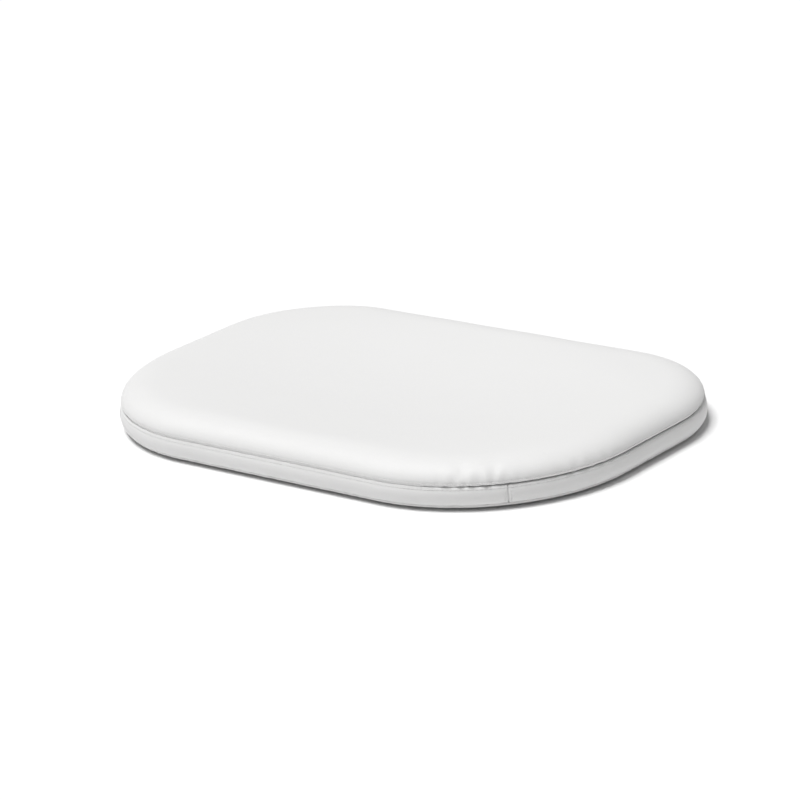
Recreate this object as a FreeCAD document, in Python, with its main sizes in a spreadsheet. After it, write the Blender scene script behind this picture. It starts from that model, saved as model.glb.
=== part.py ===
"""Face cradle cushion: a flat, dished pad with a zipped leather cover, for a spa treatment table.

Millimetres.  +X runs across the table, +Y towards its head end, +Z up.  The origin is the middle
of the centre hook strip's underside, on which the pad rests.  The zip is in the rear boxing.
"""

import FreeCAD, Part
import math
import os
import Sketcher
from FreeCAD import Placement, Rotation, Vector

DIMENSIONS = {
    # plan and height of the finished pad
    "pad_width": 570,
    "pad_length": 380,
    "pad_height": 44,
    "front_radius": 165,
    "rear_radius": 125,
    "crown_radius": 19.5,
    "tuck_radius": 5,
    # the shallow hollow for the face is the cap of a large ellipsoid
    "dish_depth": 7,
    "dish_radius_x": 490,
    "dish_radius_y": 300,
    "dish_radius_z": 60,
    # leather cover, and the heights of its two seams
    "cover_thickness": 1.2,
    "top_seam_height": 24,
    "tuck_seam_height": 5,
    # filling
    "wadding_thickness": 3,
    "stiffener_thickness": 3,
    "stiffener_inset": 8,
    "stiffener_edge": 1,
    "foam_split_height": 21,
    # hook strips under the pad
    "strip_thickness": 2.4,
    "strip_length": 300,
    "strip_width": 40,
    "strip_spacing": 105,
    "strip_corner": 4,
    # zip, from its own centre on the boxing's outer face
    "zip_height": 15,
    "zip_gap": 10.8,
    "end_tab_inner": 147,
    "tape_half_length": 155,
    "tape_reach": 7.5,
    "tape_inner": 1.2,
    "tape_thickness": 0.6,
    "coil_closed_end": 134.7,
    "coil_open_end": 140,
    "coil_inner": 0.05,
    "coil_outer": 3.1,
    "coil_height": 2.4,
    "coil_round": 0.8,
    "stop_inner": 0.4,
    "stop_outer": 3.4,
    "stop_wrap": 0.6,
    "stop_rise": 0.2,
    "top_stop_inner": 141.5,
    "top_stop_outer": 144.5,
    "bottom_stop_outer": 144,
    # slider, from its own centre
    "slider_x": 133,
    "slider_half_length": 5.5,
    "slider_front_half": 5,
    "slider_rear_half": 4.3,
    "slider_corner": 1.2,
    "plate_thickness": 1,
    "running_gap": 0.3,
    "flange_width": 0.8,
    "wedge_front": 5,
    "wedge_rear": 2,
    "wedge_half": 0.8,
    # crown over the slider, and the pull that turns under it
    "crown_half_length": 4,
    "crown_half_width": 1.3,
    "crown_leg": 1,
    "crown_bar": 0.8,
    "crown_tunnel": 2,
    "crown_round": 0.5,
    "pull_bar_radius": 0.6,
    "pull_thickness": 1.1,
    "pull_eye_half": 1.7,
    "pull_eye_end": 4.7,
    "pull_half_width": 3.2,
    "pull_length": 24,
    "pull_corner": 3,
    "pull_hole_radius": 1.4,
    "pull_hole_x": 20,
}

# heights above the table face
PANEL_FLOOR = "(Dims.strip_thickness + Dims.cover_thickness)"
FOAM_FLOOR = f"({PANEL_FLOOR} + Dims.stiffener_thickness)"
COVER_INSET = "Dims.cover_thickness"
FOAM_INSET = "(Dims.cover_thickness + Dims.wadding_thickness)"
ZIP_LOW = "(Dims.zip_height - Dims.zip_gap / 2)"
ZIP_HIGH = "(Dims.zip_height + Dims.zip_gap / 2)"
# plan
HALF_WIDTH = "(Dims.pad_width / 2)"
REAR_FACE = "(Dims.pad_length / 2)"
REAR_JOIN = "(Dims.pad_width / 2 - Dims.rear_radius)"
FRONT_CENTRE = "(Dims.front_radius - Dims.pad_length / 2)"
# the front strip meets the side strips half-way round each front corner
FRONT_JOIN = "(Dims.pad_width / 2 - Dims.front_radius * (1 - sqrt(0.5)))"
# heights above the boxing's outer face, in the zip's own frame
TAPE_TOP = "(-Dims.cover_thickness)"
TAPE_BOTTOM = "(-Dims.cover_thickness - Dims.tape_thickness)"
COIL_TOP = "(Dims.coil_height - Dims.cover_thickness)"
INNER_PLATE_TOP = f"({TAPE_BOTTOM} - Dims.running_gap)"
OUTER_PLATE = f"({COIL_TOP} + Dims.running_gap)"
CROWN_FOOT = f"({OUTER_PLATE} + Dims.plate_thickness)"
PULL_AXIS = f"({CROWN_FOOT} + Dims.crown_tunnel / 2)"

# the zip's own frame: x from its closed end to its open end, y up, z out of the boxing
ZIP_TURN = Rotation(Vector(-1, 0, 0), Vector(0, 0, 1), Vector(0, 1, 0))
QUARTER_TURN = math.pi / 2
LEVEL = 1e-4  # heights closer than this are the same

doc = FreeCAD.newDocument("face_cradle_cushion")
sheet = doc.addObject("Spreadsheet::Sheet", "Dims")
for row, (alias, size) in enumerate(DIMENSIONS.items(), start=1):
    sheet.set(f"A{row}", alias)
    sheet.set(f"B{row}", str(size))
    sheet.setAlias(f"B{row}", alias)
doc.recompute()

scratch = doc.addObject("App::FeaturePython", "Scratch")
scratch.addProperty("App::PropertyFloat", "Number")


def number(expression):
    """The number that an expression over the sheet stands for."""
    scratch.setExpression("Number", expression)
    scratch.recompute()
    return scratch.Number


# ---- sketches and features ----

def new_body(label):
    body = doc.addObject("PartDesign::Body", label)
    body.Label = label
    return body


def new_sketch(body, name, height="0", role="XY_Plane"):
    """Sketch on one of the body's own origin planes, raised by height."""
    planes = {item.Role: item for item in body.Origin.OriginFeatures}
    sketch = body.newObject("Sketcher::SketchObject", f"{body.Name}_{name}")
    sketch.AttachmentSupport = [(planes[role], "")]
    sketch.MapMode = "FlatFace"
    sketch.setExpression("AttachmentOffset.Base.z", height)
    return sketch


def hold(sketch, kind, *where, size):
    """Constraint whose size is an expression over the sheet."""
    index = sketch.addConstraint(Sketcher.Constraint(kind, *where, number(size)))
    sketch.setExpression(f"Constraints[{index}]", size)


def add_polygon(sketch, corners):
    """Closed outline through the corners, each held from the origin by two expressions."""
    points = [Vector(number(x), number(y), 0) for x, y in corners]
    first = sketch.GeometryCount
    count = len(points)
    for index in range(count):
        sketch.addGeometry(Part.LineSegment(points[index], points[(index + 1) % count]))
    for index in range(count):
        following = first + (index + 1) % count
        sketch.addConstraint(Sketcher.Constraint("Coincident", first + index, 2, following, 1))
    for index, (x, y) in enumerate(corners):
        hold(sketch, "DistanceX", -1, 1, first + index, 1, size=x)
        hold(sketch, "DistanceY", -1, 1, first + index, 1, size=y)


def add_rectangle(sketch, x_range, y_range):
    (left, right), (low, high) = x_range, y_range
    add_polygon(sketch, [(left, low), (right, low), (right, high), (left, high)])


def add_circle(sketch, x, y, radius):
    circle = Part.Circle(Vector(number(x), number(y), 0), Vector(0, 0, 1), number(radius))
    index = sketch.addGeometry(circle)
    hold(sketch, "DistanceX", -1, 1, index, 3, size=x)
    hold(sketch, "DistanceY", -1, 1, index, 3, size=y)
    hold(sketch, "Radius", index, size=radius)


def add_pad_outline(sketch, inset):
    """The pad's plan drawn in by inset: straight sides joined by front and rear corner arcs."""
    half_width = f"({HALF_WIDTH} - {inset})"
    half_length = f"({REAR_FACE} - {inset})"
    radii = {"front": f"(Dims.front_radius - {inset})", "rear": f"(Dims.rear_radius - {inset})"}
    across, along = number(half_width), number(half_length)
    front, rear = number(radii["front"]), number(radii["rear"])
    corners = [  # centre x, centre y, radius, start angle in quarter turns
        (across - front, front - along, front, 3),
        (across - rear, along - rear, rear, 0),
        (rear - across, along - rear, rear, 1),
        (front - across, front - along, front, 2),
    ]
    arcs = []
    for x, y, radius, quarter in corners:
        circle = Part.Circle(Vector(x, y, 0), Vector(0, 0, 1), radius)
        start = quarter * QUARTER_TURN
        arcs.append(sketch.addGeometry(Part.ArcOfCircle(circle, start, start + QUARTER_TURN)))
    sides = []
    for index in range(4):
        start = sketch.getPoint(arcs[index], 2)
        end = sketch.getPoint(arcs[(index + 1) % 4], 1)
        sides.append(sketch.addGeometry(Part.LineSegment(start, end)))
    for index in range(4):
        following = arcs[(index + 1) % 4]
        sketch.addConstraint(Sketcher.Constraint("Tangent", arcs[index], 2, sides[index], 1))
        sketch.addConstraint(Sketcher.Constraint("Tangent", sides[index], 2, following, 1))
    right, rear_side, left, front_side = sides
    for side, kind in ((right, "Vertical"), (rear_side, "Horizontal"),
                       (left, "Vertical"), (front_side, "Horizontal")):
        sketch.addConstraint(Sketcher.Constraint(kind, side))
    hold(sketch, "DistanceX", -1, 1, right, 1, size=half_width)
    hold(sketch, "DistanceX", left, 1, -1, 1, size=half_width)
    hold(sketch, "DistanceY", -1, 1, rear_side, 1, size=half_length)
    hold(sketch, "DistanceY", front_side, 1, -1, 1, size=half_length)
    for arc, name in zip(arcs, ("front", "rear", "rear", "front")):
        hold(sketch, "Radius", arc, size=radii[name])


def pad(body, sketch, length, both_ways=False):
    feature = body.newObject("PartDesign::Pad", f"{sketch.Name}_pad")
    feature.Profile = sketch
    feature.setExpression("Length", length)
    feature.Midplane = both_ways
    return feature


def pocket_through(body, sketch):
    """Cut the sketch's outline right through the body, both ways."""
    doc.recompute()
    before = body.Shape.Volume
    feature = body.newObject("PartDesign::Pocket", f"{sketch.Name}_pocket")
    feature.Profile = sketch
    feature.Type = "ThroughAll"
    feature.Midplane = True
    doc.recompute()
    if not body.Shape.Volume < before:
        raise RuntimeError(f"{feature.Name} cuts nothing")
    return feature


def round_edges(body, feature, radius, chosen):
    """Fillet on those edges of the feature that chosen() picks."""
    doc.recompute()
    edges = enumerate(feature.Shape.Edges, start=1)
    names = [f"Edge{index}" for index, edge in edges if chosen(edge)]
    fillet = body.newObject("PartDesign::Fillet", f"{feature.Name}_round")
    fillet.Base = (feature, names)
    fillet.setExpression("Radius", radius)
    return fillet


def at_height(expression):
    level = number(expression)
    return lambda edge: all(abs(vertex.Z - level) < LEVEL for vertex in edge.Vertexes)


def upright(edge):
    start, end = edge.Vertexes[0].Point, edge.Vertexes[-1].Point
    return abs(start.x - end.x) < LEVEL and abs(start.y - end.y) < LEVEL


# ---- whole-pad shapes and their division ----

def slab(label, inset, low, high, crown=None, tuck=None):
    """Slab of the pad's plan, drawn in by inset; a crowned one also has the dish in its top."""
    body = new_body(label)
    outline = new_sketch(body, "outline")
    add_pad_outline(outline, inset)
    height = f"({high} - {low})"
    last = pad(body, outline, height)
    if tuck:
        last = round_edges(body, last, tuck, at_height("0"))
    if crown:
        round_edges(body, last, crown, at_height(height))
        dish = body.newObject("PartDesign::SubtractiveEllipsoid", f"{label}_dish")
        for number_of, axis in (("1", "z"), ("2", "x"), ("3", "y")):
            dish.setExpression(f"Radius{number_of}", f"Dims.dish_radius_{axis} + {inset}")
        centre = f"Dims.pad_height - Dims.dish_depth + Dims.dish_radius_z - {low}"
        dish.setExpression("Placement.Base.z", centre)
    body.setExpression("Placement.Base.z", low)
    return body


def block(label, x_range, y_range, z_range):
    """Box that spans three ranges, each a pair of expressions."""
    box = doc.addObject("Part::Box", label)
    ranges = (("Length", "x", x_range), ("Width", "y", y_range), ("Height", "z", z_range))
    for side, axis, (start, end) in ranges:
        box.setExpression(side, f"{end} - ({start})")
        box.setExpression(f"Placement.Base.{axis}", start)
    return box


def combine(kind, label, base, tool):
    result = doc.addObject(kind, label)
    result.Label = label
    result.Base = base
    result.Tool = tool
    return result


def shared(label, base, tool):
    return combine("Part::Common", label, base, tool)


def without(label, base, tool):
    return combine("Part::Cut", label, base, tool)


def group(label, pieces):
    """One node of several separate solids."""
    result = doc.addObject("Part::Compound", label)
    result.Label = label
    result.Links = pieces
    return result


ALL_X = (f"-{HALF_WIDTH} - 1", f"{HALF_WIDTH} + 1")
ALL_Y = (f"-{REAR_FACE} - 1", f"{REAR_FACE} + 1")
REAR_X = (f"-{REAR_JOIN}", REAR_JOIN)


def make_cover():
    """Top panel, bottom panel and the boxing's strips, parted at the seams."""
    outside = slab("cover_outside", "0", "Dims.strip_thickness", "Dims.pad_height",
                   "Dims.crown_radius", "Dims.tuck_radius")
    inside = slab("cover_inside", COVER_INSET, PANEL_FLOOR,
                  "(Dims.pad_height - Dims.cover_thickness)",
                  "Dims.crown_radius - Dims.cover_thickness",
                  "Dims.tuck_radius - Dims.cover_thickness")
    skin = without("cover_skin", outside, inside)
    above = block("above_top_seam", ALL_X, ALL_Y, ("Dims.top_seam_height", "Dims.pad_height + 1"))
    below = block("below_tuck_seam", ALL_X, ALL_Y, ("0", "Dims.tuck_seam_height"))
    between = block("between_seams", ALL_X, ALL_Y,
                    ("Dims.tuck_seam_height", "Dims.top_seam_height"))
    band = shared("boxing_band", skin, between)
    heights = ("0", "Dims.pad_height")
    front = block("front_region", (f"-{FRONT_JOIN}", FRONT_JOIN), (ALL_Y[0], FRONT_CENTRE), heights)
    rear = block("rear_region", REAR_X, ("0", ALL_Y[1]), heights)
    sides = without("boxing_sides", without("boxing_no_front", band, front), rear)
    rear_band = shared("boxing_rear", band, rear)
    upper = block("above_zip", ALL_X, ALL_Y, (ZIP_HIGH, "Dims.pad_height"))
    lower = block("below_zip", ALL_X, ALL_Y, ("0", ZIP_LOW))
    right = block("right_half", ("0", ALL_X[1]), ALL_Y, heights)
    left = block("left_half", (ALL_X[0], "0"), ALL_Y, heights)
    panels = [
        shared("cover_top_panel", skin, above),
        shared("boxing_front", band, front),
        shared("boxing_right", sides, right),
        shared("boxing_left", sides, left),
        shared("boxing_rear_upper", rear_band, upper),
        shared("boxing_rear_lower", rear_band, lower),
        shared("cover_bottom_panel", skin, below),
    ]
    return panels, inside


def make_filling(inside):
    """Stiffener sheet, two layers of foam, and the wadding over them, open behind the zip."""
    stiffener = slab("stiffener_sheet", "Dims.stiffener_inset", PANEL_FLOOR, FOAM_FLOOR)
    sheet_pad = stiffener.Tip
    both_faces = [at_height("0"), at_height("Dims.stiffener_thickness")]
    round_edges(stiffener, sheet_pad, "Dims.stiffener_edge",
                lambda edge: any(face(edge) for face in both_faces))
    support = slab("support_foam", FOAM_INSET, FOAM_FLOOR, "Dims.foam_split_height")
    comfort = slab("comfort_foam", FOAM_INSET, "Dims.foam_split_height",
                   f"(Dims.pad_height - {FOAM_INSET})", f"Dims.crown_radius - {FOAM_INSET}")
    over_foam = block("over_foam_floor", ALL_X, ALL_Y, (FOAM_FLOOR, "Dims.pad_height"))
    window = block("zip_window", REAR_X, (f"{REAR_FACE} - {FOAM_INSET}", REAR_FACE),
                   (FOAM_FLOOR, "Dims.zip_height + Dims.tape_reach"))
    whole = shared("wadding_whole", inside, over_foam)
    for name, tool in (("wadding_over_support", support), ("wadding_over_foam", comfort)):
        whole = without(name, whole, tool)
    return [stiffener, support, comfort, without("wadding_wrap", whole, window)]


def make_hook_strips():
    """Three hook strips across the underside; their lower faces are the face the pad rests on."""
    strips = []
    for name, place in (("front", "-"), ("centre", "0 *"), ("rear", "")):
        body = new_body(f"hook_strip_{name}")
        outline = new_sketch(body, "outline")
        add_rectangle(outline, ("-Dims.strip_length / 2", "Dims.strip_length / 2"),
                      ("-Dims.strip_width / 2", "Dims.strip_width / 2"))
        strip = pad(body, outline, "Dims.strip_thickness")
        round_edges(body, strip, "Dims.strip_corner", upright)
        body.setExpression("Placement.Base.y", f"{place} Dims.strip_spacing")
        strips.append(body)
    return strips


# ---- zip ----

def set_on_zip(item, x="0"):
    """Stand a piece in the zip's own frame, at x across the pad."""
    item.Placement = Placement(Vector(0, 0, 0), ZIP_TURN)
    item.setExpression("Placement.Base.x", x)
    item.setExpression("Placement.Base.y", REAR_FACE)
    item.setExpression("Placement.Base.z", "Dims.zip_height")


def zip_bar(label, x_range, y_range, low, high, rounding=None):
    """Straight bar of the zip, from low to high above the boxing's face."""
    body = new_body(label)
    outline = new_sketch(body, "outline", low)
    add_rectangle(outline, x_range, y_range)
    bar = pad(body, outline, f"{high} - {low}")
    if rounding:
        along = at_height(high)
        round_edges(body, bar, rounding,
                    lambda edge: along(edge) and edge.Length > number("Dims.coil_open_end"))
    set_on_zip(body)
    return body


def make_zip():
    """Two tapes, two coils, the stops and the leather tabs over the tapes' ends."""
    tapes = []
    coils = []
    for name, side in (("upper", ""), ("lower", "-")):
        reach = (f"{side} Dims.tape_inner", f"{side} Dims.tape_reach")
        tape = zip_bar(f"zip_tape_{name}", ("-Dims.tape_half_length", "Dims.tape_half_length"),
                       reach, TAPE_BOTTOM, TAPE_TOP)
        reach = (f"{side} Dims.coil_inner", f"{side} Dims.coil_outer")
        coil = zip_bar(f"zip_coil_{name}", ("-Dims.coil_closed_end", "Dims.coil_open_end"),
                       reach, TAPE_TOP, COIL_TOP, "Dims.coil_round")
        tapes.append(tape)
        coils.append(coil)

    def stop(label, x_range, y_range):
        """Metal clip squeezed round the tapes."""
        clip = zip_bar(f"{label}_blank", x_range, y_range, f"({TAPE_BOTTOM} - Dims.stop_wrap)",
                       f"({COIL_TOP} + Dims.stop_rise)")
        for side, tape in enumerate(tapes):
            clip = without(f"{label}_{side}", clip, tape)
        return clip

    top_x = ("-Dims.top_stop_outer", "-Dims.top_stop_inner")
    top_stops = group("zip_top_stops", [
        stop("top_stop_above", top_x, ("Dims.stop_inner", "Dims.stop_outer")),
        stop("top_stop_below", top_x, ("-Dims.stop_outer", "-Dims.stop_inner")),
    ])
    bottom_stop = stop("bottom_stop", ("Dims.coil_open_end", "Dims.bottom_stop_outer"),
                       ("-Dims.stop_outer", "Dims.stop_outer"))
    bottom_stop.Label = "zip_bottom_stop"
    half_gap = ("-Dims.zip_gap / 2", "Dims.zip_gap / 2")
    closed_tab = zip_bar("zip_end_tab_right", (f"-{REAR_JOIN}", "-Dims.end_tab_inner"),
                         half_gap, TAPE_TOP, "0")
    open_tab = zip_bar("zip_end_tab_left", ("Dims.end_tab_inner", REAR_JOIN),
                       half_gap, TAPE_TOP, "0")
    return tapes + coils + [top_stops, bottom_stop, closed_tab, open_tab]


def slider_plan(sketch, inner=None):
    """Slider's plan, wide at its mouth; with inner, only the strip that far in from one side."""
    front, rear = "Dims.slider_front_half", "Dims.slider_rear_half"
    length = "Dims.slider_half_length"
    if inner is None:
        add_polygon(sketch, [(f"-{length}", f"-{front}"), (length, f"-{rear}"),
                             (length, rear), (f"-{length}", front)])
        return
    for side in ("", "-"):
        add_polygon(sketch, [
            (f"-{length}", f"{side} ({front} - {inner})"), (length, f"{side} ({rear} - {inner})"),
            (length, f"{side} {rear}"), (f"-{length}", f"{side} {front}")])


def make_slider():
    """Two plates joined by the wedge that parts the coils, with flanges down the outer plate."""
    body = new_body("zip_slider_body")
    inner = new_sketch(body, "inner_plate", f"({INNER_PLATE_TOP} - Dims.plate_thickness)")
    slider_plan(inner)
    pad(body, inner, "Dims.plate_thickness")
    wedge = new_sketch(body, "wedge", INNER_PLATE_TOP)
    add_rectangle(wedge, ("-Dims.wedge_front", "-Dims.wedge_rear"),
                  ("-Dims.wedge_half", "Dims.wedge_half"))
    pad(body, wedge, f"{OUTER_PLATE} - {INNER_PLATE_TOP}")
    outer = new_sketch(body, "outer_plate", OUTER_PLATE)
    slider_plan(outer)
    pad(body, outer, "Dims.plate_thickness")
    flanges = new_sketch(body, "flanges", f"({TAPE_TOP} + Dims.running_gap)")
    slider_plan(flanges, "Dims.flange_width")
    last = pad(body, flanges, f"{OUTER_PLATE} - ({TAPE_TOP} + Dims.running_gap)")
    reach = number("Dims.slider_half_length")
    round_edges(body, last, "Dims.slider_corner",
                lambda edge: upright(edge) and abs(abs(edge.Vertexes[0].X) - reach) < LEVEL
                and abs(edge.Vertexes[0].Y) > number("Dims.slider_rear_half") - LEVEL)
    set_on_zip(body, "Dims.slider_x")
    return body


def make_crown():
    """Arch over the slider's outer plate, which holds the pull."""
    body = new_body("zip_slider_crown")
    arch = new_sketch(body, "arch", role="XZ_Plane")
    outer, inner = "Dims.crown_half_length", "(Dims.crown_half_length - Dims.crown_leg)"
    tunnel = f"({CROWN_FOOT} + Dims.crown_tunnel)"
    top = f"({tunnel} + Dims.crown_bar)"
    add_polygon(arch, [
        (f"-{outer}", CROWN_FOOT), (f"-{inner}", CROWN_FOOT), (f"-{inner}", tunnel),
        (inner, tunnel), (inner, CROWN_FOOT), (outer, CROWN_FOOT), (outer, top),
        (f"-{outer}", top)])
    last = pad(body, arch, "2 * Dims.crown_half_width", both_ways=True)
    round_edges(body, last, "Dims.crown_round", at_height(top))
    set_on_zip(body, "Dims.slider_x")
    return body


def make_pull():
    """Flat pull tab whose round bar turns inside the crown."""
    body = new_body("zip_pull_tab")
    low = f"({PULL_AXIS} - Dims.pull_thickness / 2)"
    blade = new_sketch(body, "blade", low)
    add_rectangle(blade, ("0", "Dims.pull_length"),
                  ("-Dims.pull_half_width", "Dims.pull_half_width"))
    last = pad(body, blade, "Dims.pull_thickness")
    tip = number("Dims.pull_length")
    round_edges(body, last, "Dims.pull_corner",
                lambda edge: upright(edge) and abs(edge.Vertexes[0].X - tip) < LEVEL)
    eye = new_sketch(body, "eye", low)
    add_rectangle(eye, ("-1", "Dims.pull_eye_end"), ("-Dims.pull_eye_half", "Dims.pull_eye_half"))
    pocket_through(body, eye)
    hole = new_sketch(body, "hole", low)
    add_circle(hole, "Dims.pull_hole_x", "0", "Dims.pull_hole_radius")
    pocket_through(body, hole)
    bar = new_sketch(body, "bar", role="XZ_Plane")
    add_circle(bar, "0", PULL_AXIS, "Dims.pull_bar_radius")
    pad(body, bar, "2 * Dims.pull_half_width", both_ways=True)
    set_on_zip(body, "Dims.slider_x")
    return body


def check(nodes):
    """Stop if an object of the document failed, or a node's shape is missing or invalid."""
    for item in doc.Objects:
        if "Invalid" in item.State or "Error" in item.State:
            raise RuntimeError(f"{item.Label} failed: {item.State}")
    for node in nodes:
        if node.Shape.isNull() or not node.Shape.isValid() or not node.Shape.Solids:
            raise RuntimeError(f"{node.Label} has no valid solid")


def main():
    panels, inside = make_cover()
    nodes = panels + make_filling(inside) + make_hook_strips() + make_zip()
    nodes += [make_slider(), make_crown(), make_pull()]
    doc.recompute()
    check(nodes)
    os.makedirs("parts", exist_ok=True)
    for node in nodes:
        node.Shape.exportStep(f"parts/{node.Label}.step")
        print(f"{node.Label}: {len(node.Shape.Solids)} solid(s), {node.Shape.Volume:.1f} mm3")


main()
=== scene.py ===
"""The visual model of the face cradle cushion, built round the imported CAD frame.

The cover is one closed band of leather from the middle of the top, over the rim, down the side
and under the pad. A place on it is (t, s): t is the distance along the leather from the upper
seam, positive up over the top panel and negative down the boxing, and s is the distance round
the outline from the middle of the front right corner, counter-clockwise from above.
Shape functions work in millimetres, and meshes are made in metres.
"""
import math

import bmesh
import bpy
import numpy as np
from mathutils import Matrix, Vector


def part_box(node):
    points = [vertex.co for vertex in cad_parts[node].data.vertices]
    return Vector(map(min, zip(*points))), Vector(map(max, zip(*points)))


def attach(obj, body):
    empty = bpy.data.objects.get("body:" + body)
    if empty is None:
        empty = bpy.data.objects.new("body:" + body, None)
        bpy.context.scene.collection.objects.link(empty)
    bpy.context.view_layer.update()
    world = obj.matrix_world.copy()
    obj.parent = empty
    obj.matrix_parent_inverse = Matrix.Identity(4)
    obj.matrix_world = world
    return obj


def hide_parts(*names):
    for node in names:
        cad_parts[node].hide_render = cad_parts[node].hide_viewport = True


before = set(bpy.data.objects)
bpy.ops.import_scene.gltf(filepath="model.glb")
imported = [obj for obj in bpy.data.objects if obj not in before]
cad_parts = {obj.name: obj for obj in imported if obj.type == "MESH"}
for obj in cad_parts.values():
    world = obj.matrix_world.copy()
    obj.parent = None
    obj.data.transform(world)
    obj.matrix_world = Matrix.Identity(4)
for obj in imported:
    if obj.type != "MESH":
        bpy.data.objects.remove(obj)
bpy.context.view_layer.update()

MM = 0.001
QUARTER = math.pi / 2


def box(node):
    """A CAD node's lowest and highest corners in millimetres."""
    low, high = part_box(node)
    return np.array(low) / MM, np.array(high) / MM


def running(steps):
    """0, and the running total of the steps."""
    return np.concatenate([[0], np.cumsum(steps)])


# -------- sizes, from the frame

TOP_LOW, TOP_HIGH = box("cover_top_panel")
BOXING_LOW, _ = box("boxing_front")
BOTTOM_LOW, _ = box("cover_bottom_panel")
HALF_LENGTH, HALF_WIDTH = TOP_HIGH[0], TOP_HIGH[1]
PAD_TOP, SEAM_Z = TOP_HIGH[2], TOP_LOW[2]
TUCK_SEAM_Z, FLOOR_Z = BOXING_LOW[2], BOTTOM_LOW[2]
FRONT_RADIUS, REAR_RADIUS = 165.0, 125.0
TUCK_RADIUS = 5.0
LEATHER = 1.2

# -------- the outline, seen from above

FRONT_X, FRONT_Y = HALF_LENGTH - FRONT_RADIUS, FRONT_RADIUS - HALF_WIDTH
REAR_X, REAR_Y = HALF_LENGTH - REAR_RADIUS, HALF_WIDTH - REAR_RADIUS
ARCS_AND_RUNS = [
    ("arc", (FRONT_X, FRONT_Y), FRONT_RADIUS, -QUARTER / 2, 0),
    ("run", (HALF_LENGTH, FRONT_Y), (HALF_LENGTH, REAR_Y)),
    ("arc", (REAR_X, REAR_Y), REAR_RADIUS, 0, QUARTER),
    ("run", (REAR_X, HALF_WIDTH), (-REAR_X, HALF_WIDTH)),
    ("arc", (-REAR_X, REAR_Y), REAR_RADIUS, QUARTER, 2 * QUARTER),
    ("run", (-HALF_LENGTH, REAR_Y), (-HALF_LENGTH, FRONT_Y)),
    ("arc", (-FRONT_X, FRONT_Y), FRONT_RADIUS, 2 * QUARTER, 3 * QUARTER),
    ("run", (-FRONT_X, -HALF_WIDTH), (FRONT_X, -HALF_WIDTH)),
    ("arc", (FRONT_X, FRONT_Y), FRONT_RADIUS, 3 * QUARTER, 3.5 * QUARTER),
]


def part_length(part):
    if part[0] == "arc":
        return part[2] * (part[4] - part[3])
    return math.dist(part[1], part[2])


LENGTHS = [part_length(part) for part in ARCS_AND_RUNS]
ENDS = np.cumsum(LENGTHS)
PERIMETER = ENDS[-1]
FRONT_RIGHT_JOIN = 0.0
REAR_RIGHT_CORNER = ENDS[1] + LENGTHS[2] / 2
REAR_RIGHT_JOIN, REAR_LEFT_JOIN = ENDS[2], ENDS[3]
REAR_LEFT_CORNER = ENDS[3] + LENGTHS[4] / 2
FRONT_LEFT_JOIN = ENDS[5] + LENGTHS[6] / 2
JOINS = (FRONT_RIGHT_JOIN, REAR_RIGHT_JOIN, REAR_LEFT_JOIN, FRONT_LEFT_JOIN)


def outline(s):
    """Points and outward normals at distances s round the outline."""
    s = np.asarray(s, float) % PERIMETER
    point = np.zeros(s.shape + (2,))
    normal = np.zeros(s.shape + (2,))
    for part, length, end in zip(ARCS_AND_RUNS, LENGTHS, ENDS):
        here = (s >= end - length) & (s <= end)
        along = s[here] - (end - length)
        if part[0] == "arc":
            angle = part[3] + along / part[2]
            normal[here] = np.stack([np.cos(angle), np.sin(angle)], -1)
            point[here] = np.array(part[1]) + part[2] * normal[here]
        else:
            direction = (np.array(part[2]) - part[1]) / length
            normal[here] = (direction[1], -direction[0])
            point[here] = np.array(part[1]) + along[:, None] * direction
    return point, normal


# -------- the cover's cross-section

# The top rises over CROWN_RUN from its seam, along a superellipse. The table goes on for PLATEAU
# over the flat top and the flat underside.
CROWN_RUN = 36.0
CROWN_POWER = 2.25
PLATEAU = 130.0


def make_profile():
    """A table of (t, inset from the outline, z) from the bottom panel's middle to the top's."""
    turn = np.linspace(0, QUARTER, 600)
    crown_in = CROWN_RUN * (1 - np.cos(turn) ** (2 / CROWN_POWER))
    crown_z = SEAM_Z + (PAD_TOP - SEAM_Z) * np.sin(turn) ** (2 / CROWN_POWER)
    top = np.stack([crown_in, crown_z], -1)
    top = np.vstack([top, [[CROWN_RUN + PLATEAU, PAD_TOP]]])
    tuck = np.linspace(0, QUARTER, 120)
    side = np.stack(
        [TUCK_RADIUS * (1 - np.cos(tuck)), FLOOR_Z + TUCK_RADIUS * (1 - np.sin(tuck))], -1
    )
    side = np.vstack([[[0, SEAM_Z]], side, [[TUCK_RADIUS + PLATEAU, FLOOR_Z]]])
    rows = []
    for path, sign in ((side, -1), (top, 1)):
        steps = np.linalg.norm(np.diff(path, axis=0), axis=1)
        t = sign * running(steps)
        rows.append(np.column_stack([t, path]))
    return np.vstack([rows[0][::-1], rows[1][1:]])


PROFILE = make_profile()


def profile(t):
    """Inset and height at distances t along the leather."""
    return np.interp(t, PROFILE[:, 0], PROFILE[:, 1]), np.interp(t, PROFILE[:, 0], PROFILE[:, 2])


side_rows = PROFILE[PROFILE[:, 0] < -1]
TUCK_T = float(np.interp(TUCK_SEAM_Z, side_rows[:, 2], side_rows[:, 0]))
# Rows of columns reach BAND_IN from the outline, and the top panel's middle begins there.
BAND_IN = 64.0
top_rows = PROFILE[PROFILE[:, 0] > 0]
BAND_T = float(np.interp(BAND_IN, top_rows[:, 1], top_rows[:, 0]))

DISH_DEPTH = 7.4
DISH_HALF_LENGTH, DISH_HALF_WIDTH = 264.0, 170.0


def dish(x, y):
    """How far the top sinks at (x, y)."""
    inside = 1 - (x / DISH_HALF_LENGTH) ** 2 - (y / DISH_HALF_WIDTH) ** 2
    return DISH_DEPTH * np.clip(inside, 0, 1) ** 1.5


def smoothstep(low, high, x):
    share = np.clip((x - low) / (high - low), 0, 1)
    return share * share * (3 - 2 * share)


def bump(x, width):
    return np.exp(-((x / width) ** 2))


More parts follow.
